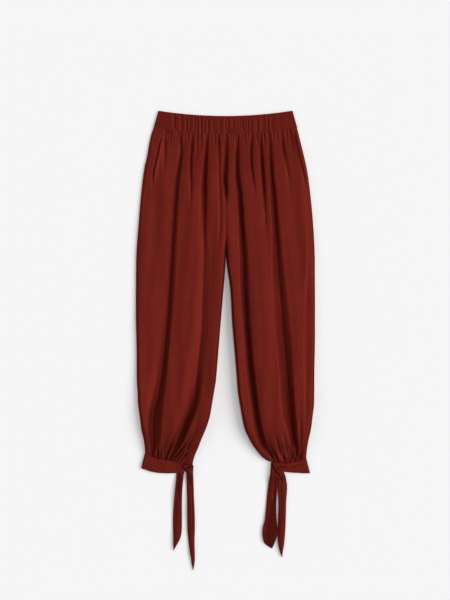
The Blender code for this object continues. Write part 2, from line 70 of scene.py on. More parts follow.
band = {
    "halfTop": 177.5,
    "halfSeam": 190.5,
    "height": 6.2,
    "topSag": 14.0,
    "seamMiddle": 62.0,
    "seamRise": 16.0,
    "wall": 1.6,
    "counts": (420, 14, 180),  # steps over the front, round an end and underneath
    "rows": 30,
    "rippleDepth": 0.6,
    "rippleWidth": 1.8,
    "rippleBottom": 0.25,
    "rippleEnds": 0.12,  # share of the height over which a ripple starts or ends
    "rippleLean": 1.2,
    "softWave": 0.18,  # height of the low waves between the ripples
    "waveHalf": 150.0,  # the waves end this far from the middle
    "backWave": 0.5,
    "edgeDip": 0.2,  # the casing lies lower along its two sewn edges
    "edgeShares": (0.05, 0.05),
    # place across, depth, first and last share of the height, half width
    "ripples": (
        (-136, 2.7, 0, 0.75, 2.6), (-117, 3.2, 0.05, 1, 2.9), (-104, 2.4, 0.3, 1, 2.4),
        (-93, 1.2, 0.1, 0.8, 3.3), (-82, 2.7, 0.1, 1, 2.4), (-75, 2.4, 0.05, 0.95, 2.2),
        (-65, 2.7, 0.05, 1, 2.5), (-56, 1.2, 0.3, 1, 2.8), (-46, 2.4, 0.25, 1, 2.3),
        (-33, 2.7, 0.2, 1, 2.5), (-27, 2, 0.6, 1, 2.1), (-14, 1.2, 0.2, 0.9, 3.3),
        (0, 2.4, 0, 0.95, 2.2), (6, 2.4, 0, 0.95, 2.2), (20, 1.2, 0.1, 0.8, 3.5),
        (41, 2.4, 0.05, 0.45, 2.2), (46, 2, 0.2, 0.9, 2.2), (53, 2, 0.15, 0.95, 2.4),
        (60, 2.4, 0.2, 0.9, 2.2), (68, 2, 0.25, 0.95, 2.3), (84, 2.7, 0.3, 1, 2.5),
        (97, 3.2, 0, 0.95, 2.4), (103, 2.7, 0.05, 1, 2.2), (111, 2.4, 0.1, 1, 2.4),
        (124, 1.2, 0.2, 1, 3.3),
    ),
}

# down, height of the crown and of the edges, reach of the outer and the inner rounding
sections = np.array((
    (40, 6.2, 3, 4, 4), (66, 7, 3, 6, 5), (110, 12.5, 3.4, 8, 10), (170, 18.5, 3.8, 8, 14),
    (300, 23.5, 4, 8, 12), (420, 24.5, 4.1, 8, 7.5), (560, 26.5, 4.3, 8, 7.5),
    (700, 28, 4.4, 9, 8), (820, 30.5, 4.6, 10, 8.5), (875, 25.5, 4.5, 16, 10),
    (908, 15, 4.3, 10, 7), (935, 8.8, 4.2, 6, 6), (960, 8.6, 4.2, 5, 5),
))

# by down: how thin the outer edges lie
edgeFlatness = (
    (40, 1), (90, 1.3), (150, 1.5), (280, 1.4), (400, 1.3), (800, 1.2), (880, 1), (945, 1),
)

# by down: share of the inner edges' rounding
innerRounding = ((40, 0.1), (90, 0.07), (320, 0.07), (352, 0.35), (384, 1), (945, 1))

# the fold over the crotch seam, as out on the right leg; the left leg has it mirrored
crotchFold = {
    "line": ((40, -2.5), (87, -2.6), (150, -0.6), (184, 0.9), (207, -1.3), (240, -1.6),
             (945, -1.6)),
    "shape": ((40, 1, 6, 6), (78, 7, 6, 7), (130, 12.5, 7, 9), (184, 16.5, 7, 9), (207, 15, 6, 7),
              (228, 6, 5, 5), (245, 1, 5, 5), (280, 0, 5, 5), (945, 0, 5, 5)),
}

rightLeg = {
    "name": "right",
    "sign": -1,
    # down, outer edge, side seam, inner edge
    "outline": (
        (40, 187.5, 163, -4), (57, 194.5, 167, -4), (86, 201.5, 171, -4.6), (118, 207, 177, -5),
        (152, 214.5, 185, -4.6), (192, 220, 191, -2.7), (240, 225, 197, -2.1),
        (300, 230, 204, -1.8), (365, 235, 212, -1.4), (388, 236, 214, -1.2),
        (428, 236.6, 216, 1.3), (492, 237, 217, 6.6), (555, 237, 218, 11.9),
        (619, 235.4, 217, 17.2), (714, 234.6, 216, 25.2), (746, 232.6, 214, 30.5),
        (778, 231.4, 213, 35.8), (810, 226.8, 210, 41.5), (841, 223, 208, 51.5),
        (873, 216, 203, 65), (894, 213.6, 200, 73), (905, 213, 200, 78), (925, 216, 202, 85),
        (945, 220, 204, 87.5),
    ),
    # each long fold, by down: its line; its depth and its reach to the inner and the outer
    # side; and the curve of its inner and outer walls, from 1, straight, to 2, easing out
    "folds": (
        {
            "line": ((40, 18.5), (184, 16), (317, 15), (500, 33), (700, 49), (830, 75), (905, 104),
                     (945, 110)),
            "shape": ((40, 0.5, 5, 5), (78, 2.5, 5, 5), (144, 3.6, 5, 6), (184, 3.6, 5, 6),
                      (237, 3, 6, 7), (317, 2, 7, 7), (380, 0, 7, 7), (800, 0, 8, 8),
                      (860, 4, 8, 8), (900, 4.5, 6, 6), (930, 1, 5, 5)),
        },
        {
            "line": ((40, 47.5), (118, 51.5), (197, 54.5), (303, 57), (400, 57.5), (502, 61),
                     (582, 63.5), (635, 69), (714, 77), (767, 83.5), (794, 90), (833, 103.5),
                     (873, 119), (894, 132), (916, 144), (945, 148)),
            "shape": ((40, 0.5, 5, 5), (78, 6.5, 5, 6), (105, 11, 6, 6), (144, 15, 6, 8),
                      (184, 16.5, 6, 11), (237, 12, 8, 13), (317, 8, 9, 14), (396, 4.5, 14, 16),
                      (502, 6.5, 16, 20), (608, 9.5, 16, 24), (714, 14, 15, 30), (794, 23, 11, 34),
                      (847, 26, 9, 30), (886, 19, 8, 26), (920, 5, 6, 8)),
            "curve": ((40, 2, 2), (380, 2, 2), (600, 1.7, 1.7), (714, 1.5, 1.6), (794, 1.6, 2.6),
                      (850, 1.8, 2.8), (945, 2, 2)),
        },
        {
            "line": ((40, 87), (105, 89), (131, 91.5), (224, 92), (317, 96), (500, 106),
                     (700, 122), (830, 145), (905, 165), (945, 168)),
            "shape": ((40, 0.5, 4, 4), (78, 5.5, 4, 4.5), (105, 7, 4, 4.5), (144, 6.5, 5, 6),
                      (184, 5.5, 6, 7), (237, 1, 7, 7), (290, 0, 7, 7), (840, 0, 7, 7),
                      (880, 4, 6, 6), (905, 3.5, 6, 6), (930, 1, 5, 5)),
        },
        {
            "line": ((40, 121), (105, 118), (145, 122.5), (211, 131), (317, 138), (396, 143),
                     (502, 150), (582, 156.5), (661, 165), (714, 172.5), (767, 184), (794, 191),
                     (820, 194), (847, 195), (873, 194), (902, 193), (945, 192)),
            "shape": ((40, 1, 4, 4), (78, 7.5, 5, 5), (105, 12, 6, 8), (144, 16.5, 7, 9),
                      (184, 18, 8, 9), (237, 18, 9, 12), (317, 14.5, 11, 14), (396, 15, 12, 15),
                      (502, 18, 13, 20), (608, 21, 12, 24), (714, 25, 14, 26), (767, 27, 18, 20),
                      (794, 28, 22, 13), (847, 28, 22, 10), (886, 20, 16, 9), (920, 3, 6, 6)),
            "curve": ((40, 2, 2), (380, 2, 1.8), (600, 1.6, 1.6), (714, 1.3, 1.5),
                      (794, 1.05, 1.5), (847, 1, 1.6), (886, 1.2, 1.8), (945, 2, 2)),
        },
        crotchFold,
    ),
    # short creases at the waist: out at the seam, length, depth, half width, drift outwards
    "waistCreases": (
        (-1, 60, 2.4, 3, 1), (9, 30, 1.6, 2.5, 0), (18, 90, 2.8, 3.4, -1), (28, 45, 2.2, 3, 1),
        (36, 28, 1.8, 2.6, 1), (48, 40, 2.6, 3.2, 1), (54, 25, 2, 2.4, 1), (64, 50, 2.6, 2.8, 2),
        (74, 80, 2.4, 3, 3), (81, 34, 1.6, 2.4, 2), (87, 60, 3, 3, 3), (99, 36, 2.4, 2.8, 2),
        (107, 50, 2.2, 2.8, 2), (114, 26, 2, 2.5, 1), (121, 60, 3, 3, 1), (127, 32, 2, 2.6, 2),
        (144, 50, 2.6, 2.6, 5), (151, 60, 2.4, 2.6, 4), (157, 126, 3.4, 2.8, 7),
    ),
    # short creases at the cuff: down and out at the cuff, down and out at the far end, bow
    # outwards, depth, half width
    "cuffCreases": (
        (920, 158, 842, 122, 2, 6.5, 4.2), (922, 148, 848, 106, -3, 5.5, 3.6),
        (924, 140, 842, 86, -6, 6, 3.8), (926, 133, 868, 88, -4, 4, 3.4),
        (930, 124, 882, 84, -3, 4, 3.4), (934, 112, 905, 88, -2, 3, 3),
        (924, 164, 896, 158, 0, 2.6, 2.6), (922, 171, 878, 168, 1, 3.6, 3),
        (920, 179, 884, 178, 0, 6, 4), (918, 187, 900, 187, 0, 3, 2.8),
        (914, 195, 880, 194, 1, 3.4, 3), (910, 201, 872, 199, 1, 4, 3),
        (906, 208, 800, 219, 1.5, 7, 4.5),
    ),
    # out, down to the cuff seam, down to the cuff's hem
    "cuff": (
        (80, 939, 951), (98, 937, 953), (119, 932, 957), (140, 927, 959), (160, 924, 959),
        (178, 921, 958), (199, 913, 954), (213, 905, 949), (224, 899, 945),
    ),
    "cuffInner": (90, 94),
    "cuffOuter": (213, 223),
    # creases in the cuff: out and share of its height at both ends, depth, half width
    "bandCreases": ((118, 0.2, 150, 0.12, 0.8, 2), (104, 0.55, 124, 0.35, 1.2, 2.4)),
    "pocket": (66, 205, 3.4),  # first and last down of the pocket mouth, how far it stands open
    # by down: how much lower the cloth lies on the outer side of the broad outer fold
    "outerStep": ((40, 0), (80, 1.5), (120, 5.5), (180, 10.5), (260, 14), (640, 15), (740, 12),
                  (800, 9), (850, 6), (900, 2), (945, 0)),
}

leftLeg = {
    "name": "left",
    "sign": 1,
    "outline": (
        (40, 187.5, 180, 4), (57, 192.5, 182, 4), (78, 197.5, 184, 4.6), (110, 205.5, 191, 5),
        (152, 215, 201, 4.6), (180, 219.5, 208, 2.9), (211, 223.5, 212, 2.1), (264, 229, 218, 1.9),
        (330, 234, 222, 1.6), (388, 236.4, 221, 1.8), (428, 236.6, 219, 6.6),
        (460, 236.8, 217, 11.4), (500, 237, 215, 14.6), (555, 237, 214, 17.2),
        (619, 236.8, 213, 22.5), (682, 235.4, 213, 27.8), (746, 235, 213, 33),
        (778, 234.4, 213, 38), (810, 230.5, 213, 43.7), (841, 226.6, 212, 50.5),
        (873, 219.5, 208, 65), (894, 216, 206, 78.5), (916, 214, 204, 97), (928, 215.5, 205, 112),
        (945, 219, 207, 118),
    ),
    "folds": (
        {
            "line": ((40, 31.5), (105, 31), (158, 31), (190, 33), (211, 36.5), (290, 41.5),
                     (370, 46.5), (449, 49.5), (502, 52), (582, 57), (661, 63.5), (714, 70),
                     (767, 77), (820, 85), (873, 96.5), (888, 103), (905, 118), (945, 134)),
            "shape": ((40, 0.5, 4, 4), (78, 6.5, 5, 5), (105, 10, 6, 6), (144, 13, 6, 6),
                      (184, 17, 8, 8), (237, 19, 8, 8), (317, 18, 9, 9), (396, 16, 12, 12),
                      (502, 19, 12, 11), (608, 22, 9, 11), (714, 24, 13, 10), (794, 24, 13, 9),
                      (847, 21, 16, 9), (886, 17, 12, 12), (905, 12, 9, 8), (925, 3, 6, 6)),
        },
        {
            "line": ((40, 70.5), (62, 70.5), (91, 68), (131, 68), (184, 73), (211, 77), (300, 84),
                     (500, 92), (700, 108), (830, 125), (905, 144), (945, 154)),
            "shape": ((40, 0.5, 4, 4), (78, 6, 4, 4), (144, 7, 4, 4), (184, 4.5, 4, 4),
                      (237, 0, 5, 5), (847, 0, 6, 6), (886, 4, 6, 6), (930, 1, 5, 5)),
        },
        {
            "line": ((40, 92), (91, 94), (144, 96.5), (184, 99.5), (264, 103), (317, 106),
                     (500, 118), (700, 133), (830, 148), (905, 163), (945, 169)),
            "shape": ((40, 0.5, 4, 4), (78, 5.5, 4, 4), (105, 10, 5, 5), (144, 13.5, 5, 6),
                      (184, 12, 6, 6), (237, 6, 6, 7), (317, 1, 8, 8), (396, 0, 8, 8),
                      (840, 0, 7, 7), (880, 2.5, 6, 6), (930, 1, 5, 5)),
        },
        {
            "line": ((40, 113.5), (78, 117.5), (118, 118), (158, 120), (211, 124.5), (264, 128),
                     (343, 134), (423, 138.5), (502, 144.5), (582, 150), (661, 158), (714, 163),
                     (767, 168.5), (847, 176.5), (873, 179.5), (900, 184), (945, 187)),
            "shape": ((40, 1, 4, 4), (78, 6.5, 5, 6), (105, 10.5, 5, 8), (144, 14.5, 5, 9),
                      (184, 19, 7, 9), (237, 20, 8, 11), (317, 19, 10, 12), (396, 19, 14, 13),
                      (502, 20, 18, 16), (608, 23, 18, 18), (714, 26, 19, 14), (794, 29, 24, 12),
                      (847, 29, 14, 12), (886, 20, 10, 12), (920, 3, 6, 6)),
            "curve": ((40, 2, 2), (300, 1.9, 1.9), (400, 1.5, 1.5), (600, 1.35, 1.35),
                      (714, 1.4, 1.35), (794, 1.7, 1.5), (860, 2.2, 1.7), (945, 2, 2)),
        },
        {
            "line": ((40, 147), (78, 151), (105, 153.5), (131, 158.5), (158, 163), (197, 168),
                     (300, 175), (500, 182), (700, 190), (830, 197), (905, 197), (945, 200)),
            "shape": ((40, 0.5, 5, 5), (78, 6.5, 5, 5), (105, 8, 5, 6), (144, 4, 6, 8),
                      (184, 2.5, 8, 10), (237, 0.5, 8, 10), (300, 0, 8, 8), (800, 0, 6, 6),
                      (847, 4.5, 6, 6), (886, 2.5, 6, 6), (930, 1, 5, 5)),
        },
        {
            "line": [(down, -out) for down, out in crotchFold["line"]],
            "shape": [(down, depth, outwards, inwards)
                      for down, depth, inwards, outwards in crotchFold["shape"]],
        },
    ),
    "waistCreases": (
        (13, 26, 2, 2.5, 0), (20, 34, 2.2, 2.8, 0), (26, 110, 2.4, 3.2, 1), (32, 40, 2.6, 3, 1),
        (43, 28, 2, 2.5, 1), (51, 40, 2.2, 2.8, 1), (60, 24, 1.8, 2.3, 1), (71, 60, 3, 3, -2),
        (83, 44, 2.8, 3, 4), (93, 60, 3.2, 3, 2), (101, 50, 2.6, 3, 4), (114, 60, 3.2, 3, 3),
        (126, 30, 2, 2.5, 2), (135, 44, 2.2, 2.8, 4), (148, 60, 3, 3, 4), (160, 40, 2.2, 2.8, 4),
        (170, 66, 2.6, 2.8, 8),
    ),
    "cuffCreases": (
        (922, 136, 866, 98, 4, 5, 4), (926, 128, 880, 102, 3, 3, 3.2),
        (926, 156, 902, 149, 1, 5, 3.4), (926, 163, 885, 167, 7, 6, 3.6),
        (925, 171, 868, 173, 7, 6.5, 3.6), (926, 178, 900, 176, 0, 3, 2.8),
        (924, 184, 868, 184, 1, 6.5, 3.8), (922, 190, 902, 190, 0, 3.6, 2.8),
        (922, 194, 900, 194, 0, 4.5, 3), (920, 200, 896, 203, -1, 4.5, 3),
        (918, 206, 880, 208, -1, 3.4, 3), (916, 210, 876, 214, -1, 3, 3),
    ),
    "cuff": (
        (105, 925, 948), (122, 928, 951), (138, 931, 953), (155, 933, 955), (172, 931, 957),
        (191, 927, 958), (207, 922, 959), (225, 917, 959),
    ),
    "cuffInner": (124, 128),
    "cuffOuter": (214, 224),
    "bandCreases": ((136, 0.42, 172, 0.52, 2.4, 3.4), (170, 0.5, 214, 0.3, 1.2, 2.6)),
    "pocket": (50, 215, 2.0),
    "outerStep": ((40, 0), (120, 2), (180, 4), (260, 5.5), (640, 6), (800, 5), (880, 2), (945, 0)),
    # by down: how much lower the back's strip lies beyond this leg's side seam
    "stripDrop": ((40, 0), (110, 1), (190, 3.5), (400, 4.5), (620, 4.5), (740, 3), (860, 1),
                  (945, 0)),
}
legs = (rightLeg, leftLeg)

# a span: where something starts, the length of its start, where it ends, the length of its end
panel = {
    "wall": 0.9,
    "frontColumns": 196,
    "frontRows": 220,
    "backRows": 260,
    "crowding": 0.06,  # sets a front's columns closer together at its inner edge
    "stripCrowding": 1.7,  # sets the columns of the back's strip closer at the outer edge
    "settleRounds": 5,
    "seamGap": 0.06,
    "seamTuck": 0.2,  # the edge of a panel dips this much into its seam
    "seamTuckReach": 1.4,
    "foldEase": 6.0,  # the long folds come in over this length below the waist seam
    "foldCurve": 2.0,  # curve of a long fold's walls where its table has none
    "foldWidth": 1.12,  # how much wider the long folds open than their tables' reach
    "shoulder": 0.08,  # share of a long fold's depth that its broad, shallow shoulders take
    "shoulderReach": 2.4,  # reach of the shoulders, as a share of the fold's own
    "stepWidth": 8.0,  # width of the step down at the broad outer fold
    "lowestTrough": 3.2,
    "lowestCrease": 2.8,
    "stripReach": 9.0,  # width over which the cloth goes down to the back's strip
    "edgeTurn": 3.0,  # radius of the back's edges
    "curlStart": 366.0,  # the back's inner edge turns up from here, and fully at the crotch
    "crotch": 388.0,
    "flutter": 0.55,  # height of the soft waves along the legs
    "flutterSpan": (90, 160, 800, 90),
    "flutterLeast": 0.35,  # share of that height outside the span
    # the tables' creases: a waist crease goes by its depth squared and widens by the distance
    # from the waist, a cuff crease widens towards its far end
    "waistCrease": {"depth": 0.52, "width": 1.2, "spread": 0.04, "bottom": 0.15},
    "cuffCrease": {"depth": 2.2, "width": 1.3, "spread": 0.8, "bottom": 0.12, "fade": 1.15},
    "cuffCreaseFull": 10.0,  # half as deep at the cuff's seam, and full from this far above it
    "puff": 3.0,  # the cloth swells this much over the edge of the cuff
    "puffSpan": (0, 5, 8, 34),
    "puffReach": 12.0,
    # a pocket mouth opens and closes over these lengths; the back's edge lies lower
    "mouth": {"opens": 25.0, "closes": 45.0, "reach": 6.0, "dip": 1.3, "dipReach": 4.0},
    "pucker": {"height": 0.28, "length": 13.0, "reach": 5.0, "start": 40.0},
    "gathers": 0.9,  # height of the short gathers of the underside
    "gatherReach": 42.0,
}

# across the panel as a share, then depth by down: shallow folds of the underside
backFolds = (
    (0.16, ((40, 1.0), (150, 1.8), (280, 0), (740, 0), (860, 1.8), (930, 0.6))),
    (0.34, ((40, 1.0), (120, 1.4), (210, 0), (650, 0), (820, 2.2), (930, 0.6))),
    (0.50, ((40, 1.0), (190, 2.2), (330, 0), (780, 0), (880, 1.6), (930, 0.6))),
    (0.67, ((40, 1.0), (130, 1.5), (240, 0), (700, 0), (850, 2.2), (930, 0.6))),
    (0.84, ((40, 1.0), (160, 1.9), (300, 0), (760, 0), (870, 1.6), (930, 0.6))),
)
backFoldReach = 0.0975  # as a share of the panel's width


def smoothstep(t):
    t = np.clip(t, 0.0, 1.0)
    return t * t * (3.0 - 2.0 * t)


def mix(first, last, share):
    return first + (last - first) * share


def within(at, start, coming, end, going):
    # 1 inside a span, 0 outside, with soft ends
    return smoothstep((at - start) / coming) * (1 - smoothstep((at - end) / going))


def hump(away):
    # a soft hump: 1 at the middle, nearly 0 from two reaches away
    return np.exp(-away ** 2)


def read(rows, at, column=1):
    # smooth curve through one column of a table, at places given in its first column
    rows = np.asarray(rows, float)
    x, y = rows[:, 0], rows[:, column]
    before = np.maximum(np.arange(len(x)) - 1, 0)
    after = np.minimum(np.arange(len(x)) + 1, len(x) - 1)
    slope = (y[after] - y[before]) / (x[after] - x[before])
    at = np.clip(np.asarray(at, float), x[0], x[-1])
    low = np.clip(np.searchsorted(x, at, side="right") - 1, 0, len(x) - 2)
    span = x[low + 1] - x[low]
    t = (at - x[low]) / span
    rise = 3 * t * t - 2 * t ** 3
    value = y[low] * (1 - rise) + y[low + 1] * rise
    value += span * slope[low] * (t - 2 * t * t + t ** 3)
    return value + span * slope[low + 1] * (t ** 3 - t * t)


def readAll(rows, at):
    return [read(rows, at, column) for column in range(1, len(rows[0]))]


def trough(away):
    # cross section of a soft trough: 1 at the middle, 0 from one reach away
    return np.clip(1 - away * away, 0, None) ** 2


def crease(away, bottom=0.09, curve=2.0):
    # cross section of a fold: steep at its narrow bottom, easing out to one reach away
    t = np.sqrt(away * away + bottom * bottom) - bottom
    return np.clip(1 - t, 0, None) ** curve


def softMax(value, floor, soft=0.8):
    # the larger of the two, with a rounded corner
    return floor + soft * np.logaddexp(0, (value - floor) / soft)


def quarter(distance, reach, flatness=1.0):
    # a quarter ellipse, from 0 at an edge to 1; more flatness makes the edge lie thinner
    t = np.clip(distance / reach, 0.0, 1.0)
    return np.clip(1 - (1 - t) ** 2, 0, None) ** (flatness / 2)


def bandTop(x):
    return band["topSag"] * (1 - (x / band["halfTop"]) ** 2)


def waistSeam(x):
    return band["seamMiddle"] - band["seamRise"] * (x / band["halfSeam"]) ** 2


def toWorld(x, down, height):
    return np.stack([x * mm, (lengthMm / 2 - down) * mm, height * mm], axis=-1)


def srgb(code):
    # sRGB hex to linear RGBA
    parts = [int(code[i:i + 2], 16) / 255 for i in (1, 3, 5)]
    linear = [p / 12.92 if p <= 0.04045 else ((p + 0.055) / 1.055) ** 2.4 for p in parts]
    return (*linear, 1.0)


def addNode(tree, kind, settings=None, links=None):
    # one node with its settings, then its inputs: a value, or (node, output name)
    node = tree.nodes.new(kind)
    for key, value in (settings or {}).items():
        setattr(node, key, value)
    for key, value in (links or {}).items():
        if isinstance(value, tuple) and hasattr(value[0], "outputs"):
            tree.links.new(value[0].outputs[value[1]], node.inputs[key])
        else:
            node.inputs[key].default_value = value
    return node


clothLook = {
    "colour": "#651f18",
    "dark": "#5f1c16",
    "light": "#6b221a",
    # painted shade: the band, cuffs and ties are the same cloth made darker, for the shade in
    # their gathers and turns
    "paintedShades": {"band": 0.847, "cuffs": 0.9355, "ties": 0.785},
    "roughness": 0.5,
    "lustre": 0.385,  # share of the light that the threads throw back in their own colour
    "lustreTint": "#ff7066",
    "sheen": 0.04,
    "sheenRoughness": 0.4,
    "sheenTint": "#c08070",
    "threadMm": 0.9,  # real threads are about 0.25 mm apart, drawn coarser so that they show
    "threadWander": 0.6,
    "slubMm": 2.4,  # thicker places in the threads, drawn coarser too
    "slubStretch": 0.06,
    "slubRelief": 0.8,
    "cloudMm": 71.4,  # broad, faint differences of the dye
    "cloudShare": 0.35,
    "reliefStrength": 0.25,
    "reliefMm": 0.2,
}


def wovenCloth(name, paintedShade=1.0):
    # plain-woven viscose: soft and dense, with a soft lustre in the cloth's own colour, so
    # that it darkens quickly where it turns away. The metallic value only gives that lustre.
    material = bpy.data.materials.new(name)
    material.use_nodes = True
    tree = material.node_tree
    tree.nodes.clear()
    place = addNode(tree, "ShaderNodeUVMap", {"uv_map": "cloth"})
    slubPlace = addNode(tree, "ShaderNodeMapping", None, {
        "Vector": (place, "UV"), "Scale": (1.0, clothLook["slubStretch"], 1.0),
    })
    slub = addNode(tree, "ShaderNodeTexNoise", {"noise_dimensions": "2D"}, {
        "Vector": (slubPlace, "Vector"), "Scale": 1000 / clothLook["slubMm"], "Detail": 3.0,
    })
    cloud = addNode(tree, "ShaderNodeTexNoise", {"noise_dimensions": "2D"}, {
        "Vector": (place, "UV"), "Scale": 1000 / clothLook["cloudMm"], "Detail": 2.0,
    })
    mixed = addNode(tree, "ShaderNodeMix", {"data_type": "FLOAT"}, {
        0: clothLook["cloudShare"], 2: (slub, "Fac"), 3: (cloud, "Fac"),
    })
    ramp = addNode(tree, "ShaderNodeValToRGB", None, {"Fac": (mixed, "Result")})
    stops = ramp.color_ramp.elements
    stops.new(0.5)
    for stop, position, tone in zip(stops, (0.25, 0.5, 0.75), ("dark", "colour", "light")):
        stop.position = position
        # the second argument makes a darker copy of the same cloth: painted shade, not a different
        # dye
        stop.color = (*[part * paintedShade for part in srgb(clothLook[tone])[:3]], 1.0)
    # one thread over and one under make a wave, and a wave texture turns 20 radians a unit
    waveScale = 1000 / clothLook["threadMm"] / 20 * math.pi
    warp, weft = [
        addNode(tree, "ShaderNodeTexWave", {"bands_direction": direction}, {
            "Vector": (place, "UV"), "Scale": waveScale,
            "Distortion": clothLook["threadWander"], "Detail": 1.0,
        })
        for direction in ("X", "Y")
    ]
    weave = addNode(tree, "ShaderNodeMath", {"operation": "MULTIPLY"}, {
        0: (warp, "Fac"), 1: (weft, "Fac"),
    })
    height = addNode(tree, "ShaderNodeMath", {"operation": "MULTIPLY_ADD"}, {
        0: (slub, "Fac"), 1: clothLook["slubRelief"], 2: (weave, "Value"),
    })
    bump = addNode(tree, "ShaderNodeBump", None, {
        "Strength": clothLook["reliefStrength"], "Distance": clothLook["reliefMm"] * mm,
        "Height": (height, "Value"),
    })
    shader = addNode(tree, "ShaderNodeBsdfPrincipled", None, {
        "Base Color": (ramp, "Color"), "Roughness": clothLook["roughness"],
        "Sheen Weight": clothLook["sheen"], "Sheen Roughness": clothLook["sheenRoughness"],
        "Sheen Tint": srgb(clothLook["sheenTint"]),
        "Metallic": clothLook["lustre"], "Specular IOR Level": 0.0,
        "Specular Tint": srgb(clothLook["lustreTint"]), "Normal": (bump, "Normal"),
    })
    addNode(tree, "ShaderNodeOutputMaterial", None, {"Surface": (shader, "BSDF")})
    return material


legCloth = wovenCloth("wovenViscoseLegs")
# the band, cuffs and ties get darker copies of the leg cloth: painted shade
bandCloth = wovenCloth("wovenViscoseBandPaintedShade", clothLook["paintedShades"]["band"])
cuffCloth = wovenCloth("wovenViscoseCuffsPaintedShade", clothLook["paintedShades"]["cuffs"])
tieCloth = wovenCloth("wovenViscoseTiesPaintedShade", clothLook["paintedShades"]["ties"])
print("materials made")


def clothPiece(name, columns, rows, place, wall, material, closed=False, flipped=False):
    # a bmesh grid whose points are moved on to the cloth, with its wall inside
    grid = bmesh.new()
    bmesh.ops.create_grid(grid, x_segments=columns, y_segments=rows, size=1.0)
    mesh = bpy.data.meshes.new(name)
    grid.to_mesh(mesh)
    grid.free()
    flat = np.empty(len(mesh.vertices) * 3)
    mesh.vertices.foreach_get("co", flat)
    flat = flat.reshape(-1, 3)
    column = np.round((flat[:, 0] + 1) / 2 * columns)
    row = np.round((1 - flat[:, 1]) / 2 * rows)
    spots = place(column % columns if closed else column, row)
    mesh.vertices.foreach_set("co", spots.ravel())

    # UV in metres: along the cloth across the piece, and down it
    across = np.arange(columns + 1)
    middle = place(across % columns if closed else across, np.full(columns + 1, rows // 2))
    along = np.concatenate([[0], np.cumsum(np.linalg.norm(np.diff(middle, axis=0), axis=1))])
    corner = np.empty(len(mesh.loops), np.int64)
    mesh.loops.foreach_get("vertex_index", corner)
    uv = np.stack([along[column[corner].astype(int)], spots[corner, 1]], axis=-1)
    layer = mesh.uv_layers.new(name="cloth")
    layer.data.foreach_set("uv", uv.ravel())

    shape = bmesh.new()
    shape.from_mesh(mesh)
    if closed:
        bmesh.ops.remove_doubles(shape, verts=shape.verts, dist=1e-7)
    if flipped:
        bmesh.ops.reverse_faces(shape, faces=shape.faces)
    for edge in shape.edges:
        edge.smooth = not edge.is_boundary
    shape.to_mesh(mesh)
    shape.free()
    mesh.shade_smooth()
    mesh.materials.append(material)
    piece = bpy.data.objects.new(name, mesh)
    bpy.context.scene.collection.objects.link(piece)
    shell = piece.modifiers.new("wall", "SOLIDIFY")
    shell.thickness = wall * mm
    shell.offset = -1.0
    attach(piece, "root")
    return piece


def flutter(leg, out, down):
    # broad, uneven waves that run along the leg, strongest where the cloth is full
    side = leg["sign"]
    wave = np.sin(out / 11.0 + np.sin(down / 173.0 + side) * 1.9 + side)
    wave += 0.7 * np.sin(out / 6.3 - down / 310.0 + 2.0 * np.sin(down / 121.0))
    wave += 0.5 * np.sin(out / 17.0 + down / 93.0 + 3.0 * side)
    full = within(down, *panel["flutterSpan"])
    return panel["flutter"] * wave * mix(panel["flutterLeast"], 1, full)


def topHeight(leg, out, down):
    # height of the upper cloth of a leg, with its long folds
    crown, edge, outerReach, innerReach = readAll(sections, down)
    outer, seam, inner = readAll(leg["outline"], down)
    flatness = read(edgeFlatness, down)
    # above the crotch the two fronts meet at full height, and below it each leg rounds off
    meeting = read(innerRounding, down)
    rounded = 1 - meeting * (1 - quarter(out - inner, innerReach))
    rounded *= quarter(outer - out, outerReach, flatness)
    below = smoothstep((down - waistSeam(out)) / panel["foldEase"])
    fullness = crown + below * flutter(leg, out, down)
    # beyond the broad outer fold the cloth lies lower
    step = np.maximum(read(leg["outerStep"], down), 0)
    fromFold = out - read(leg["folds"][3]["line"], down)
    fullness -= step * smoothstep(fromFold / panel["stepWidth"] + 0.5)
    low = panel["lowestTrough"]
    for fold in leg["folds"]:
        depth, inwards, outwards = readAll(fold["shape"], down)
        away = out - read(fold["line"], down)
        curve = panel["foldCurve"]
        if "curve" in fold:
            innerCurve, outerCurve = readAll(fold["curve"], down)
            curve = np.where(away < 0, innerCurve, outerCurve)
        away = away / np.where(away < 0, inwards, outwards) / panel["foldWidth"]
        profile = mix(crease(away, curve=curve), trough(away / panel["shoulderReach"]),
                      panel["shoulder"])
        depth = np.clip(depth / np.maximum(crown - low, 1), 0, 1)
        fullness = mix(low, fullness, 1 - below * depth * profile)
    if "stripDrop" in leg:
        drop = np.maximum(read(leg["stripDrop"], down), 0)
        fullness -= drop * smoothstep((out - seam) / panel["stripReach"] + 1)
    return softMax(mix(edge, fullness, rounded), low)


def settle(leg, share, outAt):
    # a place across the leg and its distance down, which depend on each other, in rounds
    down = band["seamMiddle"] + (read(leg["cuff"], 150) - band["seamMiddle"]) * share
    for _ in range(panel["settleRounds"]):
        out = outAt(down)
        start = waistSeam(out) + panel["seamGap"]
        end = read(leg["cuff"], out) - panel["seamGap"]
        down = mix(start, end, share)
    return outAt(down), down


def sideSeam(leg, out, down):
    # distance from the side seam, how far the pocket mouth stands open there, and the height
    # of the puckers below it
    first, last, opened = leg["pocket"]
    fromSeam = out - read(leg["outline"], down, 2)
    opens, closes = panel["mouth"]["opens"], panel["mouth"]["closes"]
    mouth = opened * within(down, first, opens, last - closes, closes)
    look = panel["pucker"]
    pucker = np.sin(down * 2 * math.pi / look["length"] + 1.5 * np.sin(down / 37))
    pucker = look["height"] * pucker * hump(fromSeam / look["reach"])
    return fromSeam, mouth, pucker * smoothstep((down - last) / look["start"])


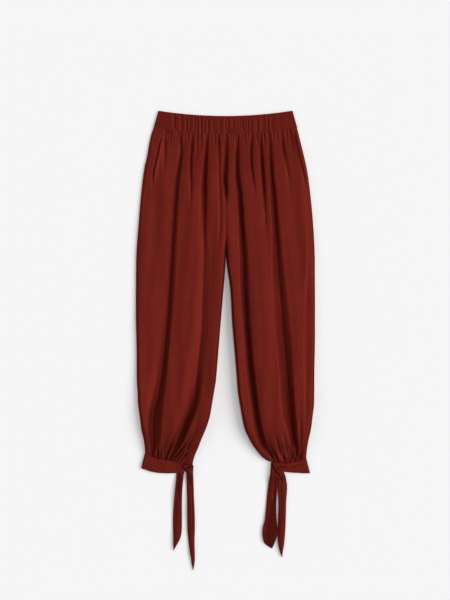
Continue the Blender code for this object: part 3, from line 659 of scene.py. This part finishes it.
def frontPlace(leg, column, row):
    share = row / panel["frontRows"]
    along = column / panel["frontColumns"]
    crowding = panel["crowding"]
    spread = np.sqrt(along ** 2 + crowding ** 2) - crowding
    spread /= math.sqrt(1 + crowding ** 2) - crowding

    def outAt(down):
        outer, seam, inner = readAll(leg["outline"], down)
        return mix(inner + panel["seamGap"] / 2, seam - panel["seamGap"] / 2, spread)

    out, down = settle(leg, share, outAt)
    height = topHeight(leg, out, down)
    fromWaist = down - waistSeam(out)
    fromCuff = read(leg["cuff"], out) - down
    look = panel["waistCrease"]
    for place, length, depth, half, drift in leg["waistCreases"]:
        line = place + drift * fromWaist / length
        reach = look["width"] * half + look["spread"] * fromWaist
        depth = look["depth"] * depth ** 2 * (1 - smoothstep(fromWaist / length))
        height -= depth * crease((out - line) / reach, look["bottom"])
    look = panel["cuffCrease"]
    full = mix(0.5, 1, smoothstep(fromCuff / panel["cuffCreaseFull"]))
    for lowDown, lowOut, highDown, highOut, bow, depth, half in leg["cuffCreases"]:
        rise = (lowDown - down) / (lowDown - highDown)
        line = mix(lowOut, highOut, rise) + 4 * bow * rise * (1 - rise)
        reach = look["width"] * half * (1 + look["spread"] * rise)
        depth = look["depth"] * depth * full * (1 - smoothstep(1 - look["fade"] * (1 - rise)))
        height -= depth * crease((out - line) / reach, look["bottom"])
    # the front's edge of the pocket mouth stands up a little
    fromSeam, mouth, pucker = sideSeam(leg, out, down)
    height += mouth * hump(fromSeam / panel["mouth"]["reach"]) + pucker
    puff = panel["puff"] * within(fromCuff, *panel["puffSpan"])
    height += puff * quarter(out - read(leg["outline"], down, 3), panel["puffReach"])
    tuckReach = panel["seamTuckReach"]
    height -= panel["seamTuck"] * (hump(fromWaist / tuckReach) + hump(fromCuff / tuckReach))
    return toWorld(leg["sign"] * out, down, np.maximum(height, panel["lowestCrease"]))


# columns of a back panel over the top, round the edge, on the floor and up at the inner edge
backPart = {"over": 22, "turn": 10, "flat": 48, "curl": 10}


def backSection(leg, column, down):
    # the back panel's outer face: over the top from the side seam, round the edge, along
    # the floor and up at the inner edge
    outer, seam, inner = readAll(leg["outline"], down)
    edge = read(sections, down, 2)
    gap = panel["seamGap"] / 2
    turn = panel["edgeTurn"]
    over, turned, flat = backPart["over"], backPart["turn"], backPart["flat"]

    share = np.clip(1 - column / over, 0, 1)
    out = mix(outer, seam + gap, share ** panel["stripCrowding"])
    height = topHeight(leg, out, down)

    angle = np.clip((column - over) / turned, 0, 1) * math.pi / 2
    out = np.where(column > over, outer - turn * (1 - np.cos(angle)), out)
    height = np.where(column > over, edge * (1 - np.sin(angle)), height)

    start = outer - turn
    end = inner + gap + turn
    across = np.clip((column - over - turned) / flat, 0, 1)
    flatOut = mix(start, end, across)
    lift = 0.0
    for place, depth in backFolds:
        fold = np.maximum(read(depth, down), 0)
        lift += fold * trough((across - place) / backFoldReach)
    lift *= smoothstep((down - waistSeam(flatOut)) / panel["foldEase"])
    onFloor = column > over + turned
    out = np.where(onFloor, flatOut, out)
    height = np.where(onFloor, lift, height)

    angle = np.clip((column - over - turned - flat) / backPart["curl"], 0, 1) * math.pi / 2
    curl = smoothstep((down - panel["curlStart"]) / (panel["crotch"] - panel["curlStart"]))
    curled = column > over + turned + flat
    out = np.where(curled, end - turn * np.sin(angle), out)
    return out, np.where(curled, (edge - gap) * curl * (1 - np.cos(angle)), height)


def backPlace(leg, column, row):
    share = row / panel["backRows"]
    out, down = settle(leg, share, lambda at: backSection(leg, column, at)[0])
    height = backSection(leg, column, down)[1]
    fromWaist = down - waistSeam(out)
    fromCuff = read(leg["cuff"], out) - down
    # short gathers of the underside, uneven in place and length
    floorColumn = column - backPart["over"] - backPart["turn"]
    onFloor = (floorColumn > 1) & (floorColumn < backPart["flat"] - 1)
    ripple = np.clip(np.sin(floorColumn * 1.45 + 0.9 * np.sin(floorColumn * 0.6)), 0, None)
    reach = panel["gatherReach"] * (1 + 0.4 * np.sin(floorColumn * 0.9))
    gathered = np.exp(-fromWaist / reach) + np.exp(-fromCuff / reach)
    height = np.where(onFloor, height + panel["gathers"] * ripple * gathered, height)
    # the back's edge of the pocket mouth lies lower than the front's
    fromSeam, mouth, pucker = sideSeam(leg, out, down)
    dip = panel["mouth"]["dip"] * mouth * hump(fromSeam / panel["mouth"]["dipReach"])
    height = np.where(column <= backPart["over"], height - dip + pucker, height)
    return toWorld(leg["sign"] * out, down, height)


for leg in legs:
    side = leg["name"].capitalize()
    flipped = leg["sign"] < 0
    front = clothPiece(
        "front" + side, panel["frontColumns"], panel["frontRows"],
        lambda c, r, leg=leg: frontPlace(leg, c, r), panel["wall"], legCloth, flipped=flipped,
    )
    back = clothPiece(
        "back" + side, sum(backPart.values()), panel["backRows"],
        lambda c, r, leg=leg: backPlace(leg, c, r), panel["wall"], legCloth, flipped=flipped,
    )
    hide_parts("front_" + leg["name"])
    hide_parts("back_" + leg["name"])
print("leg panels made")


def ringSteps(counts):
    frontSteps, endSteps, backSteps = counts
    return frontSteps + 2 * endSteps + backSteps


def flatRing(step, counts, first, last, height):
    # a flattened ring: over the front, round an end, back underneath, round the other end
    frontSteps, endSteps, backSteps = counts
    stops = np.cumsum([0, frontSteps, endSteps, backSteps, endSteps])
    over, turn, under, close = [
        np.clip((step - low) / (high - low), 0, 1) for low, high in zip(stops, stops[1:])
    ]
    radius = height / 2
    bulge = np.sin(math.pi * turn) - np.sin(math.pi * close)
    out = mix(first + radius, last - radius, over - under) + radius * bulge
    rise = radius * (2 + np.cos(math.pi * turn) - np.cos(math.pi * close))
    return out, rise, step <= frontSteps


def edgeHumps(share, topReach, bottomReach):
    # 1 at the top and the bottom edge of a strip, where it is sewn or folded
    return hump(share / topReach) + hump((1 - share) / bottomReach)


def bandPlace(column, row):
    share = row / band["rows"]
    half = mix(band["halfTop"], band["halfSeam"], share)
    x, height, front = flatRing(column, band["counts"], -half, half, band["height"])
    dents = band["edgeDip"] * edgeHumps(share, *band["edgeShares"])
    ends = band["rippleEnds"]
    for place, depth, first, last, width in band["ripples"]:
        shown = within(share, first - ends / 2, ends, last, ends)
        away = (x - place - band["rippleLean"] * (share - 0.5)) / (width * band["rippleWidth"])
        dents += band["rippleDepth"] * depth * shown * crease(away, band["rippleBottom"])
    waved = np.abs(x) < band["waveHalf"]
    dents += band["softWave"] * np.sin(x / 5.5 + 1.3 * np.sin(x / 23)) * waved
    height = np.where(front, height - dents, height)
    backWave = band["backWave"] * np.clip(np.sin(x / 4.1 + np.sin(x / 19)), 0, None) * waved
    height = np.where(~front & np.isclose(height, 0), backWave, height)
    return toWorld(x, mix(bandTop(x), waistSeam(x), share), height)


waistband = clothPiece(
    "waistbandTube", ringSteps(band["counts"]), band["rows"], bandPlace, band["wall"], bandCloth,
    closed=True,
)
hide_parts("waistband")
print("waistband made")

cuffSize = {
    "height": 8.6,
    "wall": 1.3,
    "wave": 0.18,
    "edgeDip": 0.5,
    "edgeShares": (0.05, 0.06),
    "creaseSpan": (0, 0.2, 0.5, 0.5),
    "gatherDent": 0.12,
    "gatherShare": 0.22,
    "counts": (150, 12, 60),
    "rows": 30,
    "sheetWidths": {"right": 0.26, "left": 0.195},
}


def cuffPlace(leg, column, row):
    share = row / cuffSize["rows"]
    first = mix(*leg["cuffInner"], share)
    last = mix(*leg["cuffOuter"], share)
    out, height, front = flatRing(column, cuffSize["counts"], first, last, cuffSize["height"])
    top, hem = readAll(leg["cuff"], out)
    dents = cuffSize["edgeDip"] * edgeHumps(share, *cuffSize["edgeShares"])
    dents += cuffSize["wave"] * np.sin(out / 7.0 + 3 * share + np.sin(out / 13.0))
    for lowOut, lowShare, highOut, highShare, depth, half in leg["bandCreases"]:
        along = (out - lowOut) / (highOut - lowOut)
        away = (share - mix(lowShare, highShare, along)) * (hem - top) / half
        dents += depth * within(along, *cuffSize["creaseSpan"]) * trough(away)
    # the leg's creases run on a little into the cuff
    gathered = cuffSize["gatherDent"] * np.exp(-share / cuffSize["gatherShare"])
    for _, lowOut, _, _, _, depth, half in leg["cuffCreases"]:
        dents += depth * gathered * trough((out - lowOut) / half)
    height = np.where(front, height - dents, height)
    return toWorld(leg["sign"] * out, mix(top, hem, share), height)


for leg in legs:
    cuff = clothPiece(
        "cuff" + leg["name"].capitalize(), ringSteps(cuffSize["counts"]), cuffSize["rows"],
        lambda c, r, leg=leg: cuffPlace(leg, c, r), cuffSize["wall"], cuffCloth, closed=True,
        flipped=leg["sign"] < 0,
    )
    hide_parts("cuff_" + leg["name"])
    width = cuffSize["sheetWidths"][leg["name"]]
print("cuffs made")

tieSize = {
    "wall": 1.3,
    "base": 3.4,
    "arch": 1.4,
    "wave": 1.1,
    "waveLength": 21.0,
    "heldReach": 28.0,  # from here on a tie is free of its knot or cuff
    "hemTuck": 1.5,  # a tie that comes out below the hem starts this far under it
    "turnLift": 0.75,  # a side that is turned down lifts the rest by this share
    "creaseSpan": (0, 0.1, 0.6, 0.4),
    "columns": 24,
    "rows": 150,
}
floorGap = 0.2  # between the floor and the underside of a tie or a knot

# each tie: the cuff that it comes out under, or how high its knot lifts it; its left and right
# edges by down, seen from above; its creases as down and share of its width at both ends,
# depth and half width as a share; and by down, how far its right side is turned down, or up if
# below 0, with the share of the width where that begins
ties = (
    {
        "name": "tie_right_outer", "hemOf": rightLeg,
        "rows": (
            (957.8, -129.7, -109.3), (982, -131.5, -112.2), (1006, -133.7, -114.1),
            (1032, -136.2, -115), (1059, -138.3, -115.1), (1085, -139.2, -115.1),
            (1112, -138.8, -115.8), (1125, -138.4, -117.8), (1138, -138.2, -122.6),
            (1151, -138, -130), (1163, -138, -136.4),
        ),
        "creases": (
            (950, 0.36, 1032, 0.42, 4.2, 0.15), (965, 0.68, 1045, 0.6, 3.6, 0.12),
            (1010, 0.22, 1100, 0.3, 0.7, 0.12),
        ),
        "turned": ((957, 0.3, 0.55), (1000, 1.6, 0.55), (1060, 0.3, 0.55), (1163, 0, 0.55)),
    },
    {
        "name": "tie_right_inner", "lift": 5.5,
        "rows": (
            (958.2, -103.8, -85.5), (974, -103.3, -84.8), (1006, -102.4, -83.9),
            (1032, -101.6, -82.8), (1059, -101.4, -81.6), (1085, -101.2, -80.9),
            (1112, -100.6, -81), (1138, -98, -81.8), (1165, -94.7, -81.2), (1181, -92.1, -80.9),
            (1199, -89.4, -82), (1216, -86.4, -84.9),
        ),
        "creases": ((950, 0.1, 1002, 0.72, 3.6, 0.14), (990, 0.75, 1120, 0.6, 1.4, 0.12)),
        "turned": ((958, 0, 0.55), (1020, 0.5, 0.55), (1100, 0.9, 0.55), (1216, 0.2, 0.55)),
    },
    {
        "name": "tie_left_inner", "lift": 6.0,
        "rows": (
            (964, 118, 137.4), (979, 114.6, 137.6), (1000, 112, 137), (1022, 109.6, 134.8),
            (1043, 108, 134), (1064, 106, 134.2), (1085, 103.4, 135), (1101, 99.2, 137.2),
            (1117, 97.4, 137), (1133, 99.2, 133.2), (1146, 104.6, 128.6), (1158, 120.6, 124),
        ),
        "creases": ((960, 0.62, 1050, 0.8, 2.4, 0.14), (1095, 0.3, 1165, 0.42, 1.2, 0.14)),
        "turned": ((964, -0.3, 0.9), (1000, -2, 0.78), (1045, -7.5, 0.5), (1090, -11, 0.3),
                   (1120, -11, 0.2), (1145, -6, 0.15), (1158, -1, 0.15)),
    },
    {
        "name": "tie_left_outer", "lift": 4.0,
        "rows": (
            (954.9, 139.6, 154.6), (969, 138, 159.4), (990, 137.8, 163), (1011, 138.4, 162.6),
            (1032, 140.4, 160.8), (1059, 140.2, 160.2), (1085, 138.8, 159.6), (1112, 138, 158.3),
            (1133, 138.2, 156.6), (1149, 140, 155), (1165, 143.4, 152), (1181, 148.6, 150.2),
        ),
        "creases": ((945, 0.1, 990, 0.5, 3.4, 0.15), (985, 0.3, 1090, 0.42, 1.2, 0.12)),
        "turned": ((955, 0, 0.55), (1000, 0.6, 0.55), (1100, 0.8, 0.55), (1181, 0.2, 0.55)),
    },
)


def tiePlace(tie, column, row):
    rows = tie["rows"]
    first, last = rows[0][0], rows[-1][0]
    down = mix(first, last, row / tieSize["rows"])
    left, right = readAll(rows, down)
    share = column / tieSize["columns"]
    x = mix(left, right, share)
    loose = smoothstep((down - first) / tieSize["heldReach"])
    arch = tieSize["arch"] * (1 - (2 * share - 1) ** 2)
    rise = tieSize["wave"] * (1 + np.sin(down / tieSize["waveLength"] + left / 9)) * loose
    height = tieSize["base"] + arch + rise
    turned, begins = readAll(tie["turned"], down)
    turning = np.clip((share - begins) / (1 - begins), 0, 1)
    height += tieSize["turnLift"] * np.maximum(turned, 0) - turned * turning
    for lowDown, lowShare, highDown, highShare, depth, half in tie["creases"]:
        along = (down - lowDown) / (highDown - lowDown)
        away = (share - mix(lowShare, highShare, along)) / half
        height -= depth * within(along, *tieSize["creaseSpan"]) * trough(away)
    if "hemOf" in tie:
        leg = tie["hemOf"]
        hem = read(leg["cuff"], leg["sign"] * x, 2)
        down += (hem - tieSize["hemTuck"] - first) * (1 - loose)
    else:
        height += tie["lift"] * (1 - loose)
    return toWorld(x, down, np.maximum(height, tieSize["wall"] + floorGap))


def toCamel(name):
    first, *rest = name.split("_")
    return first + "".join(word.capitalize() for word in rest)


for tie in ties:
    strip = clothPiece(
        toCamel(tie["name"]), tieSize["columns"], tieSize["rows"],
        lambda c, r, tie=tie: tiePlace(tie, c, r), tieSize["wall"], tieCloth,
    )
    rows = tie["rows"]
    widest = max(right - left for _, left, right in rows)
    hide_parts(tie["name"])
print("ties made")

# the folded cloth of each knot: left and right edges by down, height, and its creases as
# across and down at both ends, bow downwards, depth and half width
knots = (
    {
        "name": "knot_right",
        "rows": (
            (933, -113, -88.8), (938, -117, -86), (942, -117, -84.6), (946, -113.5, -84.8),
            (951, -107.5, -85.4), (956, -104.6, -85.6), (961, -103.4, -85.6), (966, -102, -86.2),
        ),
        "height": 13.4,
        "creases": (
            (-118, 939, -104, 949, 0.5, 4, 1.9), (-104, 948.5, -85, 937, 1.5, 4.5, 2),
            (-101, 952, -93, 966, 0, 3, 2),
        ),
    },
    {
        "name": "knot_left",
        "rows": (
            (926, 120.8, 123), (931, 120.6, 128), (936, 120.4, 134), (943, 119.8, 141.5),
            (951, 119.2, 148), (958, 118.6, 151), (966, 118.2, 150), (972, 118, 146),
        ),
        "height": 13.0,
        "creases": (
            (121, 929, 145, 968, -3, 5.5, 2.2), (136, 945, 152, 952, 0.5, 3.5, 2.2),
            (126, 944, 131, 974, 0, 1.8, 2.4),
        ),
    },
)
knotSize = {
    "edge": 2.2,
    "reach": 4.5,
    "lowerDip": 3.0,  # a knot lies this much lower towards the ties
    "creaseSpan": (-0.1, 0.2, 0.75, 0.35),
    "wall": 1.2,
    "columns": 40,
    "rows": 56,
}


def knotPlace(knot, column, row):
    rows = knot["rows"]
    first, last = rows[0][0], rows[-1][0]
    down = mix(first, last, row / knotSize["rows"])
    left, right = readAll(rows, down)
    x = mix(left, right, column / knotSize["columns"])
    reach = knotSize["reach"]
    inside = quarter(x - left, reach) * quarter(right - x, reach)
    inside *= quarter(down - first, reach)
    height = mix(knotSize["edge"], knot["height"], inside)
    height -= knotSize["lowerDip"] * (1 - quarter(last - down, 2 * reach)) * inside
    for lowX, lowDown, highX, highDown, bow, depth, half in knot["creases"]:
        stepX, stepDown = highX - lowX, highDown - lowDown
        length = math.hypot(stepX, stepDown)
        along = ((x - lowX) * stepX + (down - lowDown) * stepDown) / length ** 2
        away = ((x - lowX) * stepDown - (down - lowDown) * stepX) / length
        away -= 4 * bow * np.clip(along * (1 - along), 0, None)
        height -= depth * within(along, *knotSize["creaseSpan"]) * trough(away / half)
    return toWorld(x, down, np.maximum(height, knotSize["wall"] + floorGap))


for knot in knots:
    fold = clothPiece(
        toCamel(knot["name"]), knotSize["columns"], knotSize["rows"],
        lambda c, r, knot=knot: knotPlace(knot, c, r), knotSize["wall"], tieCloth,
    )
    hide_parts(knot["name"])
print("knots made")

studio = {
    "floorHalf": 40.0,  # metres, wide enough for low side views
    "floorDepth": 0.2,  # millimetres below the part
    "floorColour": "#f6f6f6",
    "floorRoughness": 0.9,
    "floorGloss": 0.1,
    "cameraHeight": 3.2,  # metres
    "worldStrength": 0.24,
    # where the light comes from, how broad it is in degrees, strength
    "lights": {
        "overheadLight": ((0.14, 0.06, 0.988), 24.0, 0.86),
        "rightLight": ((0.76, 0.05, 0.65), 40.0, 2.12),
        "leftLight": ((-0.8, 0.0, 0.6), 22.0, 0.26),
    },
}

floorMesh = bpy.data.meshes.new("floor")
floorShape = bmesh.new()
bmesh.ops.create_grid(floorShape, x_segments=2, y_segments=2, size=studio["floorHalf"])
bmesh.ops.translate(floorShape, verts=floorShape.verts, vec=(0, 0, -studio["floorDepth"] * mm))
floorShape.to_mesh(floorMesh)
floorShape.free()
floor = bpy.data.objects.new("floor", floorMesh)
bpy.context.scene.collection.objects.link(floor)
paper = bpy.data.materials.new("paleStudioPaper")  # matt seamless paper with hardly any gloss
paper.use_nodes = True
paperShader = paper.node_tree.nodes["Principled BSDF"]
paperShader.inputs["Base Color"].default_value = srgb(studio["floorColour"])
paperShader.inputs["Roughness"].default_value = studio["floorRoughness"]
paperShader.inputs["Specular IOR Level"].default_value = studio["floorGloss"]
floorMesh.materials.append(paper)

world = bpy.data.worlds.new("studio")
bpy.context.scene.world = world
world.use_nodes = True
background = world.node_tree.nodes["Background"]
background.inputs["Color"].default_value = (1, 1, 1, 1)
background.inputs["Strength"].default_value = studio["worldStrength"]

for name, (towards, angle, strength) in studio["lights"].items():
    light = bpy.data.lights.new(name, "SUN")
    light.energy = strength
    light.angle = math.radians(angle)
    lamp = bpy.data.objects.new(name, light)
    lamp.rotation_euler = Vector(towards).to_track_quat("Z", "Y").to_euler()
    bpy.context.scene.collection.objects.link(lamp)

camera = bpy.data.cameras.new("photoCamera")
cameraObject = bpy.data.objects.new("photoCamera", camera)
bpy.context.scene.collection.objects.link(cameraObject)
bpy.context.scene.camera = cameraObject
width, height = photo["pictureSize"]
cameraObject.location = (
    (width / 2 - photo["middlePixel"]) * photo["mmPerPixel"] * mm,
    (lengthMm / 2 - (height / 2 - photo["topPixel"]) * photo["mmPerPixel"]) * mm,
    studio["cameraHeight"],
)
cameraObject.rotation_euler = (0, 0, 0)  # straight down
camera.sensor_width = 36.0
camera.lens = camera.sensor_width * studio["cameraHeight"] / (height * photo["mmPerPixel"] * mm)
bpy.context.scene.view_settings.view_transform = "Standard"
print("studio set")
